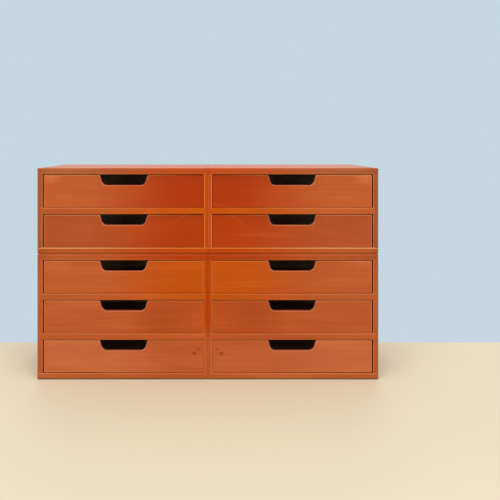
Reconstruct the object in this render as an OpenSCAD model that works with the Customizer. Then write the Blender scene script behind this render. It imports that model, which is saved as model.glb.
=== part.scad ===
// Desktop mini drawers: two columns of stackable wooden cabinets.
// Each column is a two-drawer cabinet standing on a three-drawer cabinet.
// Millimetres. +X is to the right, +Y is to the back and +Z is up.
// The origin is on the table, under the middle of the four cabinets.

/* [Cabinets] */
// Width of one cabinet
cabinet_w = 330; // [240:1:460]
// Depth of one cabinet, front to back
cabinet_d = 250; // [180:1:360]
// Clear height of one drawer bay
bay_h = 65; // [50:0.5:110]
// Hairline left between the two columns
column_gap = 0.2; // [0.2:0.1:3]

/* [Boards] */
// Thickness of the side panels on the outside of the stack
side_t = 10.5; // [8:0.5:18]
// Thickness of the side panels where the two columns meet
middle_side_t = 8; // [8:0.5:18]
// Thickness of the top and bottom boards
board_t = 12; // [9:0.5:20]
// Thickness of the shelves
shelf_t = 12; // [8:0.5:18]
// Thickness of the back panel
back_t = 4; // [3:0.5:6]
// Radius of the cabinet's outer edges
outer_round = 3.5; // [1:0.1:5]
// Radius of those edges where the two columns meet
middle_round = 0.4; // [0.2:0.1:4]
// Radius of the edges between boards
inner_ease = 1.2; // [0.3:0.1:1.5]

/* [Cabinet joinery] */
// How deep the shelves are housed in the side panels
housing_depth = 4; // [2:0.5:5]
// Thickness of the tongues at the ends of the side panels
tongue_t = 4; // [3:0.5:5]
// Height of those tongues
tongue_h = 4; // [2:0.5:6]
// How far the tongues stop behind the front edge
tongue_stop = 14; // [8:1:40]
// How far the back panel reaches into the boards around it
back_reach = 5; // [3:0.5:6]
// Play of tongues and panels in their grooves
groove_play = 0.1; // [0.05:0.05:0.3]

/* [Drawers] */
// Thickness of a drawer front
front_t = 10; // [8:0.5:16]
// How far a drawer front lies behind the cabinet's front edge
front_recess = 1.5; // [0:0.1:5]
// Gap above a drawer front
front_top_gap = 1.2; // [0.8:0.1:4]
// Gap beside a drawer on the outside of the stack
outer_gap = 1.7; // [0.3:0.1:3]
// Gap beside a drawer where the two columns meet
middle_gap = 0.3; // [0.3:0.1:3]
// Height of a drawer front above the lower edge of its sides
front_lift = 0.1; // [0.1:0.1:1.5]
// Running gap under the sides of a drawer
running_gap = 0.3; // [0.2:0.1:0.8]
// Gap between a closed drawer and the back panel
rear_gap = 1; // [0.5:0.5:10]
// Radius of a drawer front's rounded-over ends and top edge, also round its grip
front_ease = 2.5; // [0.5:0.1:2.8]
// Radius of a drawer front's lower edges
lower_ease = 0.5; // [0.2:0.1:2]

/* [Drawer box] */
// Thickness of the drawer's sides and back
box_t = 8; // [6:0.5:9]
// Height of the drawer's sides
box_h = 54; // [36:1:60]
// How far the drawer's back stands below the top of its sides
back_drop = 3; // [0:0.5:10]
// Depth of the drawer's back in its housings
back_housing = 3; // [2:0.5:4]
// Length of the drawer's sides behind its back
side_tail = 6; // [0:1:20]
// Thickness of the front's lip that covers the ends of the sides
front_lip = 4; // [3:0.5:5]
// Thickness of the drawer's bottom panel
bottom_t = 3; // [2.5:0.5:5]
// Height of the bottom panel above the lower edge of the sides
bottom_lift = 6; // [4:0.5:12]
// Depth of the groove that holds the bottom panel
bottom_groove = 4; // [2:0.5:4]
// Radius of the upper edges of the drawer box
box_ease = 1; // [0.5:0.1:2]

/* [Finger grip] */
// Width of the grip at the top of the front
grip_w = 92; // [50:1:120]
// Depth of the grip
grip_depth = 19.8; // [12:0.1:26]
// Sine of the angle at which the grip's ends lean outwards
grip_lean = 0.28; // [0.1:0.02:0.5]
// Radius of the grip's lower corners
grip_corner = 9; // [5:0.5:11]
// Radius of the corners where the grip meets the top edge
grip_shoulder = 4; // [3:0.5:6]

/* [Hidden] */
$fn = 48;
UPPER_DRAWERS = 2;
LOWER_DRAWERS = 3;

// How far a cut runs past the wood that it opens
over = 1;

inner_w = cabinet_w - side_t - middle_side_t;
bay_pitch = bay_h + shelf_t;
drawer_w = inner_w - outer_gap - middle_gap;
drawer_shift = (outer_gap - middle_gap) / 2;
drawer_d = cabinet_d - front_recess - back_t - rear_gap;
front_h = bay_h - running_gap - front_lift - front_top_gap;
box_inner_w = drawer_w - 2 * box_t;
back_end = drawer_d - side_tail;

// The grip is drawn from the middle of the front's top edge.
// This vector points straight out of its right-hand end.
grip_out = [sqrt(1 - pow(grip_lean, 2)), -grip_lean];
corner_y = grip_corner - grip_depth;
corner_x = (grip_w / 2 * grip_out.x - grip_corner + corner_y * grip_lean) / grip_out.x;
shoulder_x = (grip_w / 2 * grip_out.x + grip_shoulder - grip_shoulder * grip_lean) / grip_out.x;
slope_top = [shoulder_x, -grip_shoulder] - grip_shoulder * grip_out;
slope_foot = [corner_x, corner_y] + grip_corner * grip_out;

stain = [0.72, 0.36, 0.16];
front_stain = [0.76, 0.38, 0.15];
drawer_wood = [0.80, 0.60, 0.40];
thin_ply = [0.72, 0.53, 0.36];

function cabinet_h(drawers) = 2 * board_t + drawers * bay_h + (drawers - 1) * shelf_t;
function bay_floor(drawers, n) = board_t + (drawers - n) * bay_pitch;
function there_and_back(points) = concat(
    points,
    [for (i = [len(points) - 1:-1:0]) [-points[i].x, points[i].y]]
);

// Each cabinet has a name, a side to stand on, the height of its base and a number of drawers.
CABINETS = [
    ["upper_left", -1, cabinet_h(LOWER_DRAWERS), UPPER_DRAWERS],
    ["upper_right", 1, cabinet_h(LOWER_DRAWERS), UPPER_DRAWERS],
    ["lower_left", -1, 0, LOWER_DRAWERS],
    ["lower_right", 1, 0, LOWER_DRAWERS]
];
CABINET_PIECES = ["side_panels", "top_board", "bottom_board", "shelves", "back_panel"];
DRAWER_PIECES = ["front", "sides", "back", "bottom"];

function piece_name(cabinet, piece) = str(cabinet[0], "_", piece);
function drawer_piece_name(cabinet, n, piece) = str(cabinet[0], "_drawer_", n, "_", piece);

// What a quarter-round plane takes off a corner at the origin
module corner_shaving(radius) {
    difference() {
        translate([-over, -over]) square(radius + over);
        translate([radius, radius]) circle(radius);
    }
}

// A rectangle from the origin; its corners are eased in the order near left, near right, far right, far left
module eased_profile(size, radii) {
    corners = [[0, 0], [size.x, 0], [size.x, size.y], [0, size.y]];
    difference() {
        square(size);
        for (i = [0:3])
            if (radii[i] > 0)
                translate(corners[i]) rotate(90 * i) corner_shaving(radii[i]);
    }
}

// A board from the origin, with the edges along X, Y and Z eased by the radii given for each direction
module eased_board(size, x_edges, y_edges, z_edges) {
    intersection() {
        rotate([90, 0, 90]) linear_extrude(size.x) eased_profile([size.y, size.z], x_edges);
        translate([0, size.y, 0])
            rotate([90, 0, 0])
                linear_extrude(size.y) eased_profile([size.x, size.z], y_edges);
        linear_extrude(size.z) eased_profile([size.x, size.y], z_edges);
    }
}

// A box from its lowest corner, grown on every side
module grown_box(corner, size, growth) {
    translate(corner - growth * [1, 1, 1]) cube(size + 2 * growth * [1, 1, 1]);
}

// Puts its children on both sides of the middle plane
module both_sides() {
    children();
    mirror([1, 0, 0]) children();
}

// A cabinet is drawn from the middle of its bays, as one of the left-hand column.
// The right-hand column mirrors it.
module at_cabinet(cabinet) {
    bay_middle = column_gap / 2 + middle_side_t + inner_w / 2;
    mirror([cabinet[1] > 0 ? 1 : 0, 0, 0])
        translate([-bay_middle, -cabinet_d / 2, cabinet[2]])
            children();
}

module at_drawer(cabinet, n) {
    at_cabinet(cabinet)
        translate([drawer_shift, front_recess, bay_floor(cabinet[3], n) + running_gap])
            children();
}

// Tongue at the lower end of the right-hand side panel, or its groove when it is grown by the play
module tongue(panel_t, growth) {
    grown_box(
        [inner_w / 2 + (panel_t - tongue_t) / 2, tongue_stop, board_t - tongue_h],
        [tongue_t, cabinet_d - 2 * tongue_stop, tongue_h],
        growth
    );
}

// Place of the back panel, or the rebate for it when it is grown by the play
module back_place(drawers, growth) {
    reach = back_reach - groove_play + growth;
    translate([-inner_w / 2 - reach, cabinet_d - back_t, board_t - reach])
        cube([inner_w + 2 * reach, back_t + growth, cabinet_h(drawers) - 2 * board_t + 2 * reach]);
}

// Bottom board of a cabinet; the top board is the same board turned over
module end_board(drawers) {
    difference() {
        translate([-inner_w / 2 - side_t, 0, 0])
            eased_board(
                [cabinet_w, cabinet_d, board_t],
                [outer_round, outer_round, inner_ease, inner_ease],
                [outer_round, middle_round, middle_round, inner_ease],
                [outer_round, middle_round, middle_round, outer_round]
            );
        tongue(middle_side_t, groove_play);
        mirror([1, 0, 0]) tongue(side_t, groove_play);
        back_place(drawers, groove_play);
    }
}

module bottom_board(drawers) {
    color(stain) end_board(drawers);
}

module top_board(drawers) {
    color(stain) translate([0, 0, cabinet_h(drawers)]) mirror([0, 0, 1]) end_board(drawers);
}

// Right-hand side panel of a cabinet, standing between the end boards, with housings for the shelves
module side_panel(drawers, panel_t, outside_round) {
    difference() {
        union() {
            translate([inner_w / 2, 0, board_t])
                linear_extrude(cabinet_h(drawers) - 2 * board_t)
                    eased_profile([panel_t, cabinet_d], [inner_ease, outside_round, outside_round, 0]);
            tongue(panel_t, 0);
            translate([0, 0, cabinet_h(drawers)]) mirror([0, 0, 1]) tongue(panel_t, 0);
        }
        for (n = [1:drawers - 1])
            translate([inner_w / 2 - over, -over, bay_floor(drawers, n) - shelf_t])
                cube([housing_depth + over, cabinet_d + 2 * over, shelf_t]);
        back_place(drawers, groove_play);
    }
}

module side_panels(drawers) {
    color(stain) {
        side_panel(drawers, middle_side_t, middle_round);
        mirror([1, 0, 0]) side_panel(drawers, side_t, outer_round);
    }
}

// Shelves between the bays, with their ends in the housings of the side panels
module shelves(drawers) {
    shelf_w = inner_w + 2 * housing_depth;
    ease = [inner_ease, 0, 0, inner_ease];
    color(stain)
        for (n = [1:drawers - 1])
            translate([-shelf_w / 2, 0, bay_floor(drawers, n) - shelf_t])
                rotate([90, 0, 90])
                    linear_extrude(shelf_w) eased_profile([cabinet_d - back_t, shelf_t], ease);
}

module back_panel(drawers) {
    color(thin_ply) back_place(drawers, 0);
}

// Outline of the opening that the grip leaves in a front
module grip_outline() {
    difference() {
        union() {
            polygon(there_and_back([
                [shoulder_x, over],
                [shoulder_x, -grip_shoulder],
                slope_top,
                slope_foot,
                [corner_x, corner_y],
                [corner_x, -grip_depth]
            ]));
            both_sides() translate([corner_x, corner_y]) circle(grip_corner);
        }
        both_sides() translate([shoulder_x, -grip_shoulder]) circle(grip_shoulder);
    }
}

// Rounds over a straight edge that starts at a point, with its wood on the side of the angle
module round_over_run(start, wood_angle, length) {
    translate(start)
        rotate([0, 0, wood_angle])
            rotate([-90, 0, 0])
                linear_extrude(length) corner_shaving(front_ease);
}

// Rounds over an arc of an edge, between two directions from its centre
module round_over_turn(centre, radius, from, to, wood_outside) {
    reach = 2 * (radius + front_ease + over);
    translate(centre) intersection() {
        rotate_extrude()
            translate([radius, 0])
                mirror([wood_outside ? 0 : 1, 0])
                    mirror([0, 1])
                        corner_shaving(front_ease);
        translate([0, 0, -reach])
            linear_extrude(2 * reach) polygon([[0, 0], reach * from, reach * (from + to), reach * to]);
    }
}

// Rounds over the grip's edge on the upper face of a front that lies flat
module grip_round_over() {
    both_sides() {
        round_over_turn([corner_x, corner_y], grip_corner, grip_out, [0, -1], true);
        round_over_turn([shoulder_x, -grip_shoulder], grip_shoulder, [0, 1], -grip_out, false);
        round_over_run(slope_foot, -asin(grip_lean), norm(slope_top - slope_foot));
    }
    round_over_run([-corner_x, -grip_depth], -90, 2 * corner_x);
}

// The grip's whole cut, in a front that lies flat with its face up and its top edge at y = 0
module grip_cut() {
    translate([0, 0, -front_t - over]) linear_extrude(front_t + 2 * over) grip_outline();
    grip_round_over();
    translate([0, 0, -front_t]) mirror([0, 0, 1]) grip_round_over();
}

// Drawer front, rebated for the ends of the sides and grooved for the bottom panel
module drawer_front() {
    side_seat = box_h - front_lift + groove_play;
    color(front_stain) translate([0, 0, front_lift]) difference() {
        translate([-drawer_w / 2, 0, 0])
            eased_board(
                [drawer_w, front_t, front_h],
                [lower_ease, lower_ease, front_ease, front_ease],
                [inner_ease, inner_ease, inner_ease, inner_ease],
                [front_ease, front_ease, 0, 0]
            );
        both_sides()
            translate([drawer_w / 2 - box_t, front_lip, -over])
                cube([box_t + over, front_t, side_seat + over]);
        translate([0, 0, -front_lift]) bottom_place(groove_play);
        translate([0, 0, front_h]) rotate([90, 0, 0]) grip_cut();
    }
}

// Place of the bottom panel, or the groove for it when it is grown by the play
module bottom_place(growth) {
    reach = bottom_groove - groove_play;
    grown_box(
        [-box_inner_w / 2 - reach, front_t - reach, bottom_lift],
        [box_inner_w + 2 * reach, back_end - front_t + reach, bottom_t],
        growth
    );
}

// Sides of a drawer, grooved for the bottom panel and housed for the back
module drawer_sides() {
    color(drawer_wood) both_sides() difference() {
        translate([box_inner_w / 2, drawer_d, 0])
            rotate([90, 0, 0])
                linear_extrude(drawer_d - front_lip)
                    eased_profile([box_t, box_h], [0, 0, box_ease, box_ease]);
        translate([box_inner_w / 2 - over, 0, bottom_lift - groove_play])
            cube([bottom_groove + over, drawer_d + over, bottom_t + 2 * groove_play]);
        translate([box_inner_w / 2 - over, back_end - box_t, bottom_lift])
            cube([back_housing + over, box_t, box_h]);
    }
}

// Back of a drawer, standing on the bottom panel
module drawer_back() {
    back_w = box_inner_w + 2 * back_housing;
    foot = bottom_lift + bottom_t;
    color(drawer_wood)
        translate([-back_w / 2, back_end - box_t, foot])
            rotate([90, 0, 90])
                linear_extrude(back_w)
                    eased_profile([box_t, box_h - back_drop - foot], [0, 0, box_ease, box_ease]);
}

module drawer_bottom() {
    color(thin_ply) bottom_place(0);
}

for (cabinet = CABINETS) {
    drawers = cabinet[3];
    at_cabinet(cabinet) side_panels(drawers);
    at_cabinet(cabinet) top_board(drawers);
    at_cabinet(cabinet) bottom_board(drawers);
    at_cabinet(cabinet) shelves(drawers);
    at_cabinet(cabinet) back_panel(drawers);
    for (n = [1:drawers]) {
        at_drawer(cabinet, n) drawer_front();
        at_drawer(cabinet, n) drawer_sides();
        at_drawer(cabinet, n) drawer_back();
        at_drawer(cabinet, n) drawer_bottom();
    }
}
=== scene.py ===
"""Desktop mini drawers: the looks of four stacking wooden cabinets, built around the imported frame."""

import functools
import math
import random

import bmesh
import bpy
from mathutils import Matrix, Vector


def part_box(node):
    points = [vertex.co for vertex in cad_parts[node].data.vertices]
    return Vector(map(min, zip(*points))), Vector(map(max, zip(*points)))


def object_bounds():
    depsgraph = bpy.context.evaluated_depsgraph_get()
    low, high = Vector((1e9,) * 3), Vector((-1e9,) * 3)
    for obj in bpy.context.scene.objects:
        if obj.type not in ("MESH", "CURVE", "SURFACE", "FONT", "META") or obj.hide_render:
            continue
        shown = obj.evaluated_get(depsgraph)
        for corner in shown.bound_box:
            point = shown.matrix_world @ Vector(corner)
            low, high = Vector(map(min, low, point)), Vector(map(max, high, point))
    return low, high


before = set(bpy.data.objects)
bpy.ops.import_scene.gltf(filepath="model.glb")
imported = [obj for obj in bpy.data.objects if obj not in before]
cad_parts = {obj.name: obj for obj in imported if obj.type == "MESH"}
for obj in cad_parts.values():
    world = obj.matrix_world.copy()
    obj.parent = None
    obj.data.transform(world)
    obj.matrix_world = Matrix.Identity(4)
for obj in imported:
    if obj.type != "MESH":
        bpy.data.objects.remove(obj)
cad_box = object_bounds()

MM = 0.001

# The outside of the stack, whose middle is at X = 0 and whose foot is at Z = 0.
FRONT_Y = cad_box[0].y
REAR_Y = cad_box[1].y
SIDE_X = cad_box[1].x
TOP_Z = cad_box[1].z


# ---------------------------------------------------------------- camera

IMAGE_SIDE = 500  # pixels
AXIS_PIXEL = (209.95, 144.8)  # where the camera's axis meets the image, from its upper left corner
FOCAL_PIXELS = 703.7
SENSOR = 36.0  # millimetres
EYE = Vector((0.004, -1.36, 0.454))  # from the middle of the foot of the fronts


def place_camera():
    """A level camera in front of the cabinets, shifted to the photograph's framing."""
    data = bpy.data.cameras.new("camera")
    data.sensor_width = SENSOR
    data.lens = SENSOR * FOCAL_PIXELS / IMAGE_SIDE
    data.shift_x = 0.5 - AXIS_PIXEL[0] / IMAGE_SIDE
    data.shift_y = AXIS_PIXEL[1] / IMAGE_SIDE - 0.5
    data.clip_start = 10 * MM
    camera = bpy.data.objects.new("camera", data)
    camera.location = EYE + Vector((0, FRONT_Y, 0))
    camera.rotation_euler = (math.radians(90), 0, 0)
    bpy.context.scene.collection.objects.link(camera)
    bpy.context.scene.camera = camera


# ---------------------------------------------------------------- colours


def linear(*levels):
    """A colour given as three sRGB levels from 0 to 255, in the linear values that a shader wants."""
    parts = [level / 255 for level in levels]
    return tuple(p / 12.92 if p <= 0.04045 else ((p + 0.055) / 1.055) ** 2.4 for p in parts) + (1,)


def between(share, first, second):
    """The colour a share of the way from the first to the second, or away from the second if below 0."""
    return tuple(a + share * (b - a) for a, b in zip(first, second))


# The stain is darker and redder toward the middle of the stack, and paler on its outsides, partly from the
# stain and partly as a painted sheen.
RED_STAIN = linear(170, 54, 0)
AMBER_STAIN = linear(186, 77, 0)
TAN_STAIN = linear(181, 88, 41)
BROWN_STAIN = linear(165, 87, 48)
# The dark of its grain, a painted shade on faces that look into the bays and gaps, and a painted shadow
# along a front's foot.
DEEP_STAIN = linear(122, 38, 10)
PAINTED_BAY_SHADE = linear(128, 20, 0)
PAINTED_FOOT_SHADOW = linear(70, 20, 2)
# Its worn edges, paler partly from wear and partly from a painted highlight: on the outsides, in the middle,
# and on the outsides of the upper cabinets' bottom boards.
PALE_WEAR_HIGHLIGHT = linear(246, 160, 108)
AMBER_WEAR_HIGHLIGHT = linear(244, 146, 64)
CHALKY_WEAR_HIGHLIGHT = linear(255, 190, 120)
# The grips' edges, partly worn and partly a painted highlight; painted shade on the stack's outer front
# corners and foot.
GRIP_RIM_WEAR_HIGHLIGHT = linear(190, 128, 106)
PAINTED_EDGE_SHADE = linear(112, 84, 72)
# The bare wood of the drawers' sides and backs, and the plywood of the thin panels.
PLANED = linear(206, 174, 138)
PLANED_DEEP = linear(158, 122, 88)
PLANED_RUBBED = linear(224, 202, 172)
VENEER = linear(198, 164, 124)
VENEER_DEEP = linear(150, 112, 76)
CROSS_PLY = linear(104, 74, 50)
# The stage.
FLOOR = linear(226, 214, 186)
WALL = linear(197, 215, 225)
WHITE = (1, 1, 1, 1)


# ---------------------------------------------------------------- building a finish

MIX_SHARE, MIX_FIRST, MIX_SECOND = 0, 6, 7  # the inputs of a Mix node that mixes colours
MIX_COLOUR = 2  # its output for colours
MOST_NOISE = (0.3, 0.7)  # noise seldom leaves this span
RELIEF = 0.1 * MM  # how high a relief of 1 stands


class Nodes:
    """The shader nodes of a material or a world while they are built."""

    def __init__(self, owner):
        owner.use_nodes = True
        self.tree = owner.node_tree
        self.tree.nodes.clear()

    def add(self, kind, inputs, output=0, **settings):
        """Adds a node, sets or wires its inputs, and returns one of its outputs."""
        node = self.tree.nodes.new("ShaderNode" + kind)
        for key, value in settings.items():
            setattr(node, key, value)
        for socket, value in inputs.items():
            if isinstance(value, bpy.types.NodeSocket):
                self.tree.links.new(value, node.inputs[socket])
            else:
                node.inputs[socket].default_value = value
        return node.outputs[output]

    def output(self, shader, owner="Material"):
        """Ends the tree with the shader that its owner shows."""
        end = self.tree.nodes.new("ShaderNodeOutput" + owner)
        self.tree.links.new(shader, end.inputs["Surface"])


class Finish(Nodes):
    """One material while it is built, with the sums that its masks and colours are made of."""

    def __init__(self, name):
        self.material = bpy.data.materials.new(name)
        super().__init__(self.material)

    def math(self, operation, *values, clamp=False):
        return self.add("Math", dict(enumerate(values)), operation=operation, use_clamp=clamp)

    def vector(self, operation, *values, output=0):
        return self.add("VectorMath", dict(enumerate(values)), output, operation=operation)

    def axes(self, vector):
        """What a vector has along X, Y and Z."""
        return tuple(self.add("SeparateXYZ", {"Vector": vector}).node.outputs)

    def apart(self, value, level):
        """How far a value lies from a level, either way."""
        return self.math("ABSOLUTE", self.math("SUBTRACT", value, level))

    def chain(self, operation, values):
        """One operation all along a row of values."""
        return functools.reduce(functools.partial(self.math, operation), values)

    def times(self, *values):
        """The product of several values, such as masks and shares."""
        return self.chain("MULTIPLY", values)

    def most(self, *values):
        return self.chain("MAXIMUM", values)

    def least(self, *values):
        return self.chain("MINIMUM", values)

    def noise(self, place, per_metre, detail=2.0, rough=0.5, output=0):
        """Noise stretched by the number of its features in a metre along each axis of place."""
        stretched = self.vector("MULTIPLY", place, per_metre)
        look = {"Vector": stretched, "Scale": 1.0, "Detail": detail, "Roughness": rough}
        return self.add("TexNoise", look, output)

    def spread(self, value, low, high, to_low=0.0, to_high=1.0, smooth=False):
        """Maps low..high of a value to to_low..to_high and holds it there."""
        kind = "SMOOTHSTEP" if smooth else "LINEAR"
        ends = {"Value": value, "From Min": low, "From Max": high, "To Min": to_low, "To Max": to_high}
        return self.add("MapRange", ends, interpolation_type=kind)

    def vary(self, noise, least, most):
        """Turns noise into values from least to most."""
        return self.spread(noise, *MOST_NOISE, least, most)

    def mix(self, share, first, second):
        """The first colour where share is 0, and the second where it is 1."""
        colours = {MIX_SHARE: share, MIX_FIRST: first, MIX_SECOND: second}
        return self.add("Mix", colours, MIX_COLOUR, data_type="RGBA")

    def ramp(self, value, stops):
        """Greys that follow a value from 0 to 1, given as pairs of the value and the level."""
        colour = self.add("ValToRGB", {"Fac": value})
        band = colour.node.color_ramp
        while len(band.elements) < len(stops):
            band.elements.new(0.5)
        for element, (place, level) in zip(band.elements, stops):
            element.position = place
            element.color = (level, level, level, 1)
        return colour

    def bump(self, height, strength):
        return self.add("Bump", {"Height": height, "Strength": strength, "Distance": RELIEF})

    def surface(self, colour, roughness, normal=None, **constants):
        """Ends the finish with its shader. A constant has its socket's name, with _ for each space."""
        inputs = {"Base Color": colour, "Roughness": roughness}
        if normal is not None:
            inputs["Normal"] = normal
        inputs.update({key.replace("_", " "): value for key, value in constants.items()})
        self.output(self.add("BsdfPrincipled", inputs))
        return self.material


# ---------------------------------------------------------------- a board and the masks on it

AXES = {"X": Vector((1, 0, 0)), "Y": Vector((0, 1, 0)), "Z": Vector((0, 0, 1))}
# The height at which the upper cabinets stand on the lower ones.
SEAM_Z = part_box("upper_left_bottom_board")[0].z
# How far from the middle of the stack the fronts begin.
STILE_EDGE = -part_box("upper_left_drawer_1_front")[1].x

# The grain's drift: features in a metre along it and across it.
DRIFT_PER_METRE = (2.4, 9, 9)
# The rings close very slowly along the grain, so they show as long arches.
RING_STRETCH = (0.045, 1, 1)
# How far through a year's ring, and how dark the wood is there.
RING_TONES = ((0.0, 0.15), (0.12, 0.0), (0.62, 0.35), (0.88, 1.0), (1.0, 0.15))
# A knot is longer along X, and goes straight through a front.
KNOT_STRETCH = (0.7, 0, 1)
# How far a scuff and the inner side of a lip take to fade.
SCUFF_FADE = 1.6 * MM
LIP_FADE = 0.4 * MM

# Each pair says where a mask starts to change and where it has changed.
# By how squarely a surface faces along an axis, from -1 to 1:
SAWN_END = (0.6, 1.0)
ROUNDED_EDGE = (0.98, 0.75)
FACES_ALONG = (0.5, 0.9)
FACES_BACK = (-0.5, -0.9)
FACES_GAP = (0.7, 0.95)
# By the distance from the middle of the stack:
MIDDLE_PANELS = (30 * MM, 20 * MM)
SHADED_SIDE = (SIDE_X - 3.5 * MM, SIDE_X - 1 * MM)
# By the place along Y:
SHADED_FRONT_DEPTH = (FRONT_Y + 4 * MM, FRONT_Y + 2 * MM)
BAY_SHADE_DEPTH = (FRONT_Y + 1 * MM, FRONT_Y + 2.5 * MM)
LIP_DEPTH = (FRONT_Y + 1.2 * MM, FRONT_Y + 0.9 * MM)
# By the height:
SHADED_FOOT = (5 * MM, 1 * MM)
# By the distance from the seam or from the top, the foot or the middle of the stack:
CLEAR_OF_LINE = (3.5 * MM, 5 * MM)
# By the distance from a front's ends and upper edge:
RIM_WIDTH = (2.5 * MM, 4.5 * MM)

# How much of a mask is left: along the seam, inside a front's rim, and on its upper and lower faces.
SEAM_WEAR_HIGHLIGHT = 0.12
RIM_INSIDE = 0.12
GAP_LEDGE = 0.7


class Board:
    """What the finishes of one wooden piece share: its grain, its place in the log and its masks."""

    def __init__(self, name, grain, heart):
        self.finish = Finish(name)
        self.grain = AXES[grain]
        self.own = self.finish.add("TexCoord", {}, "Object")
        self.facing = self.finish.add("TexCoord", {}, "Normal")
        self.sideways, self.deep, self.height = self.finish.axes(self.own)
        self.away = self.finish.math("ABSOLUTE", self.sideways)
        turn = self.grain.rotation_difference(AXES["X"])
        place = {"Vector": self.own, "Rotation": tuple(turn.to_euler()), "Location": -(turn @ Vector(heart))}
        self.log = self.finish.add("Mapping", place)

    def bend(self, waver):
        """The place in the log, moved by up to half of waver each way, so that the grain wavers."""
        drift = self.finish.noise(self.log, DRIFT_PER_METRE, output="Color")
        centred = self.finish.vector("SUBTRACT", drift, (0.5, 0.5, 0.5))
        return self.finish.vector("MULTIPLY_ADD", centred, (waver, waver, waver), self.log)

    def rings(self, place, width):
        """0 in the pale early wood to 1 in the dark late wood of each year's ring."""
        finish = self.finish
        across = finish.vector("MULTIPLY", place, RING_STRETCH)
        years = finish.math("DIVIDE", finish.vector("LENGTH", across, output="Value"), width)
        return finish.ramp(finish.math("FRACT", years), RING_TONES)

    def square_to(self, axis):
        """How squarely the surface lies across an axis, from 0 to 1."""
        along = self.finish.vector("DOT_PRODUCT", self.facing, axis, output="Value")
        return self.finish.math("ABSOLUTE", along)

    def end_grain(self):
        """1 on the sawn ends of the board."""
        return self.finish.spread(self.square_to(self.grain), *SAWN_END)

    def edges(self):
        """1 on the middle of the rounded edges, where no axis lies square to the surface."""
        squareness = self.finish.most(*self.finish.axes(self.finish.vector("ABSOLUTE", self.facing)))
        return self.finish.spread(squareness, *ROUNDED_EDGE)

    def bay_edges(self):
        """The edges around the bays: 0 at the stack's top, foot and middle, and little along the seam."""
        finish = self.finish
        nearest = finish.least(self.away, finish.apart(self.height, 0), finish.apart(self.height, TOP_Z))
        seam = finish.spread(finish.apart(self.height, SEAM_Z), *CLEAR_OF_LINE, SEAM_WEAR_HIGHLIGHT, 1.0)
        return finish.times(seam, finish.spread(nearest, *CLEAR_OF_LINE), self.edges())

    def shaded_corners_mask(self):
        """1 on the outer corners of the stack's front and along its foot, which get a painted shade and
        contact shadow.
        """
        finish = self.finish
        outer = finish.spread(self.away, *SHADED_SIDE)
        foot = finish.spread(self.height, *SHADED_FOOT)
        return finish.times(finish.most(outer, foot), finish.spread(self.deep, *SHADED_FRONT_DEPTH))

    def bay_shade_mask(self):
        """1 on the sides and ceilings of the bays and between the columns, which get a painted shade."""
        finish = self.finish
        across, _, up = finish.axes(self.facing)
        outward = finish.times(across, finish.math("SIGN", self.sideways))
        upright = finish.spread(finish.math("ABSOLUTE", across), *FACES_ALONG)
        middle = finish.times(upright, finish.spread(self.away, *MIDDLE_PANELS))
        looking = finish.most(finish.spread(outward, *FACES_BACK), finish.spread(up, *FACES_BACK), middle)
        return finish.times(looking, finish.spread(self.deep, *BAY_SHADE_DEPTH))

    def gap_shade_mask(self):
        """1 on the ends of a front and less on its upper and lower faces, which look into its gaps and get a
        painted shade.
        """
        finish = self.finish
        across, _, up = finish.axes(finish.vector("ABSOLUTE", self.facing))
        return finish.most(finish.spread(across, *FACES_GAP), finish.spread(up, *FACES_GAP, 0.0, GAP_LEDGE))

    def upper_lip(self, top, width):
        """1 along the upper edge of a board's front, where a drawer rubs past, painted paler as wear and a
        painted highlight.
        """
        lip = self.finish.spread(self.height, top - width - LIP_FADE, top - width)
        return self.finish.times(lip, self.finish.spread(self.deep, *LIP_DEPTH))

    def stile_lips(self, width):
        """1 along the front edges of the middle side panels, where the drawers rub past, painted paler as
        wear and a painted highlight.
        """
        finish = self.finish
        inner = STILE_EDGE - width
        lip = finish.spread(self.away, inner - LIP_FADE, inner)
        middle = finish.spread(self.away, *MIDDLE_PANELS)
        return finish.times(lip, middle, finish.spread(self.deep, *LIP_DEPTH))

    def rim(self, low, high):
        """1 on a front's ends and upper edge, and little around its grip."""
        finish = self.finish
        below = finish.math("SUBTRACT", high.z, self.height)
        from_left = finish.math("SUBTRACT", self.sideways, low.x)
        from_right = finish.math("SUBTRACT", high.x, self.sideways)
        inside = finish.least(below, from_left, from_right)
        return finish.spread(inside, *RIM_WIDTH, 1.0, RIM_INSIDE)

    def knots(self, spots):
        """How dark the surface is from its knots and patches, below 0 where a patch is pale."""
        finish = self.finish
        total = 0.0
        for x, z, radius, depth in spots:
            away = finish.vector("MULTIPLY", finish.vector("SUBTRACT", self.own, (x, 0, z)), KNOT_STRETCH)
            span = finish.vector("LENGTH", away, output="Value")
            total = finish.math("ADD", total, finish.spread(span, radius, 0.0, 0.0, depth, smooth=True))
        return total

    def scuff(self, x, z, radius):
        """The upper outer quarter of a thin ring around x and z, left by something dragged past."""
        finish = self.finish
        along = finish.math("SUBTRACT", self.away, x)
        up = finish.math("SUBTRACT", self.height, z)
        span = finish.math("SQRT", finish.math("ADD", finish.times(along, along), finish.times(up, up)))
        ring = finish.spread(finish.apart(span, radius), SCUFF_FADE, 0.0)
        outer = finish.spread(along, 0, 0.3 * radius)
        upper = finish.spread(up, 0.2 * radius, 0.6 * radius)
        return finish.times(outer, upper, ring)


# ---------------------------------------------------------------- the figure of the wood

# Features in a metre along the grain and across it.
STREAKS_PER_METRE = (2.6, 230, 230)
FIBRES_PER_METRE = (14, 1100, 1100)
BLOTCHES_PER_METRE = (5, 22, 22)
VENEER_STREAKS_PER_METRE = (3, 160, 160)
# How dark the wood is without any figure, and how much each part of the figure adds or takes away.
PLAIN_DEPTH = 0.02
STAINED_RINGS = 0.06
PLANED_RINGS = 0.3
STREAKS = 0.08
FIBRES = 0.024
BLOTCHES = 0.1
SAWN_ENDS = 0.35
# How fast the wood turns to its light tone as its depth falls below 0.
PALE_GAIN = 1.2
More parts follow.
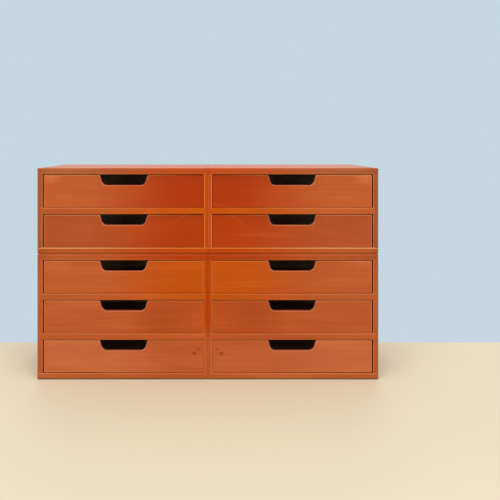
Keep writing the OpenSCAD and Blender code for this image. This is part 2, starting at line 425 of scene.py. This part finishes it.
# The streaks from the smoothest to the roughest, and how far these lie from the wood's roughness.
SMOOTH_TO_ROUGH = (0.2, 0.8)
SMOOTHER = 0.05
ROUGHER = 0.08
# The relief: raised fibres and sunk late wood, and how strongly it shows.
FIBRE_HEIGHT = 0.6
RING_HEIGHT = -0.3
WOOD_BUMP = 0.3
VENEER_BUMP = 0.25


class Grain:
    """The figure of one board: how dark the wood is at each place, and the relief of its surface."""

    def __init__(self, board, ring_share):
        finish = board.finish
        self.board = board
        bent = board.bend(waver=16 * MM)
        self.rings = board.rings(bent, width=5 * MM)
        self.streaks = finish.noise(bent, STREAKS_PER_METRE, detail=3.0, rough=0.6)
        self.fibres = finish.noise(board.log, FIBRES_PER_METRE, rough=0.6)
        blotches = finish.noise(board.log, BLOTCHES_PER_METRE)
        self.depth = finish.math("MULTIPLY_ADD", self.rings, ring_share, PLAIN_DEPTH)
        for noise, share in ((self.streaks, STREAKS), (self.fibres, FIBRES), (blotches, BLOTCHES)):
            self.darken(finish.vary(noise, -share, share))
        self.depth = finish.math("MULTIPLY_ADD", board.end_grain(), SAWN_ENDS, self.depth)

    def darken(self, amount):
        self.depth = self.board.finish.math("ADD", self.depth, amount)

    def colour(self, tone, deep, light):
        """The tone, turned to deep where the wood is dark, and to light where its depth is below 0."""
        finish = self.board.finish
        pale = finish.math("MULTIPLY", self.depth, -PALE_GAIN, clamp=True)
        dark = finish.math("MULTIPLY", self.depth, 1.0, clamp=True)
        return finish.mix(dark, finish.mix(pale, tone, light), deep)

    def material(self, colour, roughness, specular):
        """The finished wood, with its roughness following its streaks."""
        finish = self.board.finish
        streaked = finish.spread(self.streaks, *SMOOTH_TO_ROUGH, roughness - SMOOTHER, roughness + ROUGHER)
        sunk = finish.times(self.rings, RING_HEIGHT)
        relief = finish.math("MULTIPLY_ADD", self.fibres, FIBRE_HEIGHT, sunk)
        return finish.surface(colour, streaked, finish.bump(relief, WOOD_BUMP), Specular_IOR_Level=specular)


# ---------------------------------------------------------------- bare wood and plywood

PLANED_WEAR = 0.4
PLY = 1.3 * MM
# From a crosswise ply to a lengthwise one, and from the edges of a sheet to its faces.
PLY_LINE = (0.4, 0.6)
SHEET_FACE = (0.3, 0.7)
# From the faintest streaks of the veneer to the strongest: what they add to its dark, and its roughness.
VENEER_STREAKS = (-0.1, 0.3)
VENEER_ROUGHNESS = (0.5, 0.62)


def planed(name, grain, heart):
    """Bare planed wood, for the parts of the drawers that stay inside."""
    board = Board(name, grain, heart)
    figure = Grain(board, PLANED_RINGS)
    colour = figure.colour(PLANED, PLANED_DEEP, PLANED_RUBBED)
    lighter_edges = board.finish.times(board.edges(), PLANED_WEAR)
    return figure.material(board.finish.mix(lighter_edges, colour, PLANED_RUBBED), roughness=0.52, specular=0.2)


def plywood(name, heart, thick):
    """Thin plywood, square to the axis thick: a face veneer and, on the sheet's edges, its plies in turn."""
    board = Board(name, "X", heart)
    finish = board.finish
    bent = board.bend(waver=40 * MM)
    streaks = finish.noise(bent, VENEER_STREAKS_PER_METRE, detail=3.0, rough=0.6)
    rings = board.rings(bent, width=8 * MM)
    streaked = finish.vary(streaks, *VENEER_STREAKS)
    depth = finish.math("MULTIPLY_ADD", rings, PLANED_RINGS, streaked, clamp=True)
    face = finish.mix(depth, VENEER, VENEER_DEEP)
    through = finish.vector("DOT_PRODUCT", board.own, AXES[thick], output="Value")
    ply = finish.math("PINGPONG", finish.math("DIVIDE", through, PLY), 1.0)
    edge = finish.mix(finish.spread(ply, *PLY_LINE), CROSS_PLY, VENEER)
    colour = finish.mix(finish.spread(board.square_to(AXES[thick]), *SHEET_FACE), edge, face)
    roughness = finish.vary(streaks, *VENEER_ROUGHNESS)
    return finish.surface(colour, roughness, finish.bump(streaks, VENEER_BUMP), Specular_IOR_Level=0.2)


# ---------------------------------------------------------------- stained wood

# Each pair says where something starts to change and where it has changed.
# By the distance from the middle of the stack:
OUTSIDES = (40 * MM, 260 * MM)
WEAR_HIGHLIGHT_OUTWARD = (20 * MM, 180 * MM)
CROWN_INWARD = (200 * MM, 80 * MM)
FOOT_LINE_OUTWARD = (20 * MM, 240 * MM)
# By the height above the floor, and above a front's lower edge:
TAN_FOOT = (110 * MM, 70 * MM)
FOOT_LINE = (1.4 * MM, 1.0 * MM)
# By the distance below a piece's upper edge:
CROWN = (26 * MM, 2 * MM)
GRIP_ZONE = (30 * MM, 26 * MM)
# By how squarely a surface faces up, by its rim's mask, and by the noise of its streaks:
UPPER_FACE = (0.6, 0.95)
OFF_RIM = (0.7, 0.3)
WEAR_HIGHLIGHT_STREAKS = (0.25, 0.65)
# How worn and highlighted the edges are from streak to streak, at the least and at the most; the highlight
# is painted.
STREAKED_WEAR_HIGHLIGHT = (0.65, 0.95)
# How far the stain's palest wood is on its way to the pale tone of the worn and highlighted edges.
PALE_WOOD = 0.5
# How fully a colour shows on its places.
GRIP_WEAR_AND_HIGHLIGHT = 0.6
# The shares of painted shade in the gaps around a front and in the bays.
GAP_SHADE_SHARE = 0.8
BAY_SHADE_SHARE = 0.85
SCUFF_WEAR = 0.1
CORNER_SHADE = 0.75


def stain_tone(board, stain, outward):
    """The stain without its grain: in the middle, along the foot, on the outsides (with a painted sheen or
    shade, by piece) and on the upper face.
    """
    finish = board.finish
    middle = between(stain["tan"], between(stain["red"], AMBER_STAIN, RED_STAIN), TAN_STAIN)
    # Paler outsides are partly the stain and partly a painted sheen; darker outsides are a painted shade.
    toward = PALE_WEAR_HIGHLIGHT if stain["pale"] > 0 else DEEP_STAIN
    outside = between(abs(stain["pale"]), stain["outside"], toward)
    foot = finish.spread(board.height, *TAN_FOOT, 0.0, stain["foot_tan"])
    tone = finish.mix(outward, finish.mix(foot, middle, TAN_STAIN), outside)
    if stain["faded"]:
        upward = finish.spread(finish.axes(board.facing)[2], *UPPER_FACE, 0.0, stain["faded"])
        tone = finish.mix(upward, tone, finish.mix(outward, AMBER_STAIN, TAN_STAIN))
    return tone


def stained_grain(board, stain, side, top):
    """The grain with the board's knots, and with its upper edge darker in the middle of the stack."""
    finish = board.finish
    figure = Grain(board, STAINED_RINGS)
    if stain["knots"]:
        figure.darken(board.knots([(side * x, z, radius, depth) for x, z, radius, depth in stain["knots"]]))
    if stain["crown"]:
        below, until = CROWN
        near_top = finish.spread(board.height, top - below, top - until, 0.0, stain["crown"])
        figure.darken(finish.times(near_top, finish.spread(board.away, *CROWN_INWARD)))
    return figure


def front_edges(board, lighter_edges, edge, low, high):
    """How worn and highlighted a front's edges are and to what colour: less along the grip, whose rim turns
    a duller pale, partly wear and partly a painted highlight.
    """
    finish = board.finish
    rim = board.rim(low, high)
    below, until = GRIP_ZONE
    level_with_grip = finish.spread(board.height, high.z - below, high.z - until)
    grip = finish.times(finish.spread(rim, *OFF_RIM, 0.0, GRIP_WEAR_AND_HIGHLIGHT), level_with_grip)
    lighter_edges = finish.most(finish.times(lighter_edges, rim), finish.times(board.edges(), grip))
    return lighter_edges, finish.mix(rim, GRIP_RIM_WEAR_HIGHLIGHT, edge)


def marked(board, stain, colour, foot):
    """The colour with its marks: scuffs, a painted shadow along a front's foot, and painted shade on the
    stack's outer front corners and foot.
    """
    finish = board.finish
    for arc in stain["scuffs"]:
        colour = finish.mix(finish.times(board.scuff(*arc), SCUFF_WEAR), colour, PALE_WEAR_HIGHLIGHT)
    # A painted shadow along the front's lower edge, where the gap below it is in shade.
    if stain["foot"]:
        above, until = FOOT_LINE
        line = finish.spread(board.height, foot + above, foot + until)
        share = finish.spread(board.away, *FOOT_LINE_OUTWARD, *stain["foot"])
        colour = finish.mix(finish.times(line, share), colour, PAINTED_FOOT_SHADOW)
    # Painted shade on the outer front corners, and a painted contact shadow along the stack's foot.
    return finish.mix(finish.times(board.shaded_corners_mask(), CORNER_SHADE), colour, PAINTED_EDGE_SHADE)


def stained(name, grain, heart, stain):
    """Stained wood that turns from one tone in the middle of the stack to another on its outsides."""
    board = Board(name, grain, heart)
    finish = board.finish
    low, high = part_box(name)
    outward = finish.spread(board.away, *OUTSIDES, smooth=True)
    tone = stain_tone(board, stain, outward)
    side = -1 if "left" in name else 1
    figure = stained_grain(board, stain, side, high.z)
    colour = figure.colour(tone, DEEP_STAIN, finish.mix(PALE_WOOD, tone, PALE_WEAR_HIGHLIGHT))

    # The rounded edges turn paler, partly as wear and partly as a painted highlight.
    lighter_edges = finish.times(board.bay_edges(), finish.spread(figure.streaks, *WEAR_HIGHLIGHT_STREAKS, *STREAKED_WEAR_HIGHLIGHT))
    lighter_edges = finish.times(lighter_edges, finish.spread(board.away, *WEAR_HIGHLIGHT_OUTWARD, stain["edge_wear_highlight"], 1.0))
    edge = finish.mix(outward, AMBER_WEAR_HIGHLIGHT, stain["edge"])
    if name.endswith("front"):
        lighter_edges, edge = front_edges(board, lighter_edges, edge, low, high)
        # Painted shade on the faces of a front that look into its gaps.
        colour = finish.mix(finish.times(board.gap_shade_mask(), GAP_SHADE_SHARE), colour, PAINTED_BAY_SHADE)
    else:
        # Painted shade on the faces of the bays and between the columns.
        colour = finish.mix(finish.times(board.bay_shade_mask(), BAY_SHADE_SHARE), colour, PAINTED_BAY_SHADE)
    if stain["lip"]:
        width, wear = stain["lip"]
        lip = board.stile_lips(width) if name.endswith("side_panels") else board.upper_lip(high.z, width)
        lighter_edges = finish.most(lighter_edges, finish.times(lip, wear))
    colour = marked(board, stain, finish.mix(lighter_edges, colour, edge), low.z)
    return figure.material(colour, roughness=0.42, specular=0.08)


# How the stain took on each piece where that differs from PLAIN_STAIN. Lengths are in metres.
# red, tan: their shares in the middle of the stack, where the rest is amber (yellower with red below 0).
# foot_tan: the share of tan along the foot of the stack.
# outside, pale: the tone on the stack's outsides, and how much paler it is, partly stain and partly painted
# sheen (darker where pale is below 0, a painted shade).
# faded: how faded the upper face is. edge: the tone of the outer edges, paler from wear and a painted
# highlight.
# edge_wear_highlight: how worn and highlighted the edges are in the middle, against 1 on the outsides; the
# highlight is painted.
# lip: how wide and how worn and highlighted a panel's edge in the middle is, or a board's upper edge; the
# highlight is painted.
# crown: how much darker a piece is toward its upper edge in the middle.
# foot: how dark the painted shadow along a front's lower edge is, in the middle and on the outsides.
# knots: distance from the middle, height, radius and depth, below 0 for a pale patch.
# scuffs: distance from the middle, height and radius of an arc.
PLAIN_STAIN = {
    "red": 0.0, "tan": 0.0, "foot_tan": 0.0, "outside": TAN_STAIN, "pale": 0.0, "faded": 0.0, "edge_wear_highlight": 1.0,
    "edge": PALE_WEAR_HIGHLIGHT, "lip": (), "crown": 0.0, "foot": (), "knots": (), "scuffs": (),
}
STAINS = {
    "upper_drawer_1_front": {"red": 1.0, "edge_wear_highlight": 0.0, "crown": 0.3, "knots": ((0.305, 0.395, 0.024, -0.35),)},
    "upper_drawer_2_front": {"red": 0.85, "pale": -0.22, "edge_wear_highlight": 0.1, "crown": 0.25,
                             "knots": ((0.29, 0.31, 0.045, 0.12),), "scuffs": ((0.034, 0.282, 0.036),)},
    "lower_drawer_1_front": {"red": -0.1, "tan": 0.05, "foot": (0.45, 0.4),
                             "knots": ((0.3, 0.226, 0.035, -0.16),)},
    "lower_drawer_2_front": {"red": 0.5, "tan": 0.5, "edge_wear_highlight": 0.7, "crown": 0.1, "foot": (0.3, 0.0),
                             "knots": ((0.088, 0.115, 0.05, 0.22),)},
    "lower_drawer_3_front": {"red": 0.1, "tan": 1.0, "pale": 0.18, "edge_wear_highlight": 0.8, "foot": (0.3, 1.0),
                             "knots": ((0.0265, 0.0500, 0.0045, 0.75), (0.0178, 0.0590, 0.0050, 0.4))},
    "upper_top_board": {"red": 0.75, "tan": 0.33, "outside": BROWN_STAIN, "faded": 1.0,
                        "knots": ((0.335, 0.405, 0.025, 0.3),)},
    "upper_bottom_board": {"red": 0.4, "pale": -0.1, "edge_wear_highlight": 0.7, "edge": CHALKY_WEAR_HIGHLIGHT,
                           "lip": (1.2 * MM, 0.6), "knots": ((0.335, 0.243, 0.03, 0.22),)},
    "upper_shelves": {"red": -0.3, "edge_wear_highlight": 0.15},
    "upper_side_panels": {"red": 0.5, "tan": 0.1, "outside": BROWN_STAIN, "pale": -0.14,
                          "lip": (2.0 * MM, 0.45), "knots": ((0.325, 0.243, 0.06, 0.12),)},
    "lower_top_board": {"red": 0.8, "pale": -0.15, "crown": 0.15, "knots": ((0.335, 0.243, 0.04, 0.22),)},
    "lower_bottom_board": {"red": 0.2, "tan": 0.95, "pale": 0.05},
    "lower_shelves": {"red": -0.1, "tan": 0.1, "foot_tan": 1.0},
    "lower_side_panels": {"red": 0.6, "foot_tan": 1.0, "pale": -0.08, "lip": (0.9 * MM, 1.0),
                          "knots": ((0.325, 0.243, 0.06, 0.12),)},
}


# ---------------------------------------------------------------- each piece gets its own board

# How far the heart of a log may lie to the left or right of its board, in metres.
HEART_SIDEWAYS = 3
# Where it lies for upright panels: to the left or right of the stack, near it in depth, and above it.
UPRIGHT_HEART_X = 0.45
UPRIGHT_HEART_Y = 0.1
UPRIGHT_HEART_Z = 2


def heart_of(node, reach, depth):
    """A made-up place for the heart of the log that a board was sawn from, different for each board.

    It lies about depth behind the board's middle, up to reach above or below it, and to its left or right.
    """
    chance = random.Random(node)
    low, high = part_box(node)
    sideways = chance.uniform(-HEART_SIDEWAYS, HEART_SIDEWAYS)
    behind = depth * chance.uniform(0.7, 1.3)
    above = reach * chance.uniform(-1, 1)
    return (low + high) / 2 + Vector((sideways, behind, above))


def heart_beside(node):
    """The same for a cabinet's two upright panels, as if both were sawn from one log."""
    chance = random.Random(node)
    side = chance.choice((-1, 1))
    deep = chance.uniform(-UPRIGHT_HEART_Y, UPRIGHT_HEART_Y)
    return Vector((side * UPRIGHT_HEART_X, deep, UPRIGHT_HEART_Z))


def dress_frame():
    """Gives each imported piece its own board."""
    for name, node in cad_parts.items():
        level, _, piece = name.split("_", 2)
        stain = PLAIN_STAIN | STAINS.get(level + "_" + piece, {})
        if piece.endswith("front"):
            material = stained(name, "X", heart_of(name, reach=0.05, depth=0.09), stain)
        elif piece == "side_panels":
            material = stained(name, "Z", heart_beside(name), stain)
        elif piece in ("top_board", "bottom_board", "shelves"):
            material = stained(name, "X", heart_of(name, reach=0.03, depth=0.16), stain)
        elif piece == "back_panel":
            material = plywood(name, heart_of(name, reach=0.1, depth=0.1), "Y")
        elif piece.endswith("bottom"):
            material = plywood(name, heart_of(name, reach=0.1, depth=0.1), "Z")
        else:
            grain = "Y" if piece.endswith("sides") else "X"
            material = planed(name, grain, heart_of(name, reach=0.1, depth=0.02))
        for slot in node.material_slots:
            slot.material = material


# ---------------------------------------------------------------- stage

FLOOR_SIDE = 12
BACKDROP_WIDTH = 8
BACKDROP_HEIGHT = 3
BACKDROP_GAP = 6 * MM
AMBIENT = 0.6


def lamp(name, place, aim, size, watts):
    """A rectangular soft lamp that points from its place at its aim."""
    data = bpy.data.lights.new(name, "AREA")
    data.shape = "RECTANGLE"
    data.size, data.size_y = size
    data.energy = watts
    light = bpy.data.objects.new(name, data)
    light.location = place
    light.rotation_euler = (Vector(aim) - Vector(place)).to_track_quat("-Z", "Y").to_euler()
    bpy.context.scene.collection.objects.link(light)


def sheet(name, placing, material):
    """A flat rectangle of the stage, given the matrix that places a unit square."""
    mesh = bpy.data.meshes.new(name)
    bm = bmesh.new()
    bmesh.ops.create_grid(bm, x_segments=1, y_segments=1, size=0.5)
    bmesh.ops.transform(bm, matrix=placing, verts=bm.verts)
    bm.to_mesh(mesh)
    bm.free()
    mesh.materials.append(material)
    piece = bpy.data.objects.new(name, mesh)
    bpy.context.scene.collection.objects.link(piece)
    return piece


def backdrop_paint():
    """Plain pale paint that is seen from its front alone, so that the cabinets can be viewed from behind."""
    finish = Finish("backdrop_paint")
    glow = finish.add("Emission", {"Color": WALL, "Strength": 1.0})
    clear = finish.add("BsdfTransparent", {})
    behind = finish.add("NewGeometry", {}, "Backfacing")
    finish.output(finish.add("MixShader", {0: behind, 1: glow, 2: clear}))
    return finish.material


def build_stage():
    """A pale floor, and close behind the cabinets a backdrop that the camera alone sees."""
    floor_paint = Finish("floor_paint").surface(FLOOR, 0.7, Specular_IOR_Level=0.2)
    sheet("floor", Matrix.Diagonal((FLOOR_SIDE, FLOOR_SIDE, 1, 1)), floor_paint)
    middle = Matrix.Translation((0, REAR_Y + BACKDROP_GAP, BACKDROP_HEIGHT / 2))
    upright = middle @ Matrix.Rotation(math.radians(90), 4, "X")
    size = Matrix.Diagonal((BACKDROP_WIDTH, BACKDROP_HEIGHT, 1, 1))
    backdrop = sheet("backdrop", upright @ size, backdrop_paint())
    for rays in ("visible_diffuse", "visible_glossy", "visible_transmission", "visible_shadow"):
        setattr(backdrop, rays, False)


def light_stage():
    """Soft lamps around the cabinets, in a white surround that the camera sees in the colour of the wall."""
    lamp("overhead", place=(0, -1.3, 2.0), aim=(0, 0, 0.15), size=(1.8, 1.2), watts=30)
    for name, side in (("left_side", -1), ("right_side", 1)):
        lamp(name, place=(side * 1.1, -3.0, 0.7), aim=(side * 0.1, -0.12, 0.2), size=(0.9, 0.9), watts=6)
    lamp("rear", place=(0, 2.2, 1.5), aim=(0, 0.12, 0.2), size=(2.6, 1.0), watts=21)

    world = bpy.data.worlds.new("studio")
    bpy.context.scene.world = world
    surround = Nodes(world)
    seen = surround.add("LightPath", {}, "Is Camera Ray")
    ambient = surround.add("Background", {"Color": WHITE, "Strength": AMBIENT})
    shown = surround.add("Background", {"Color": WALL})
    surround.output(surround.add("MixShader", {0: seen, 1: ambient, 2: shown}), "World")


bpy.context.scene.view_settings.view_transform = "Standard"
place_camera()
dress_frame()
build_stage()
light_stage()
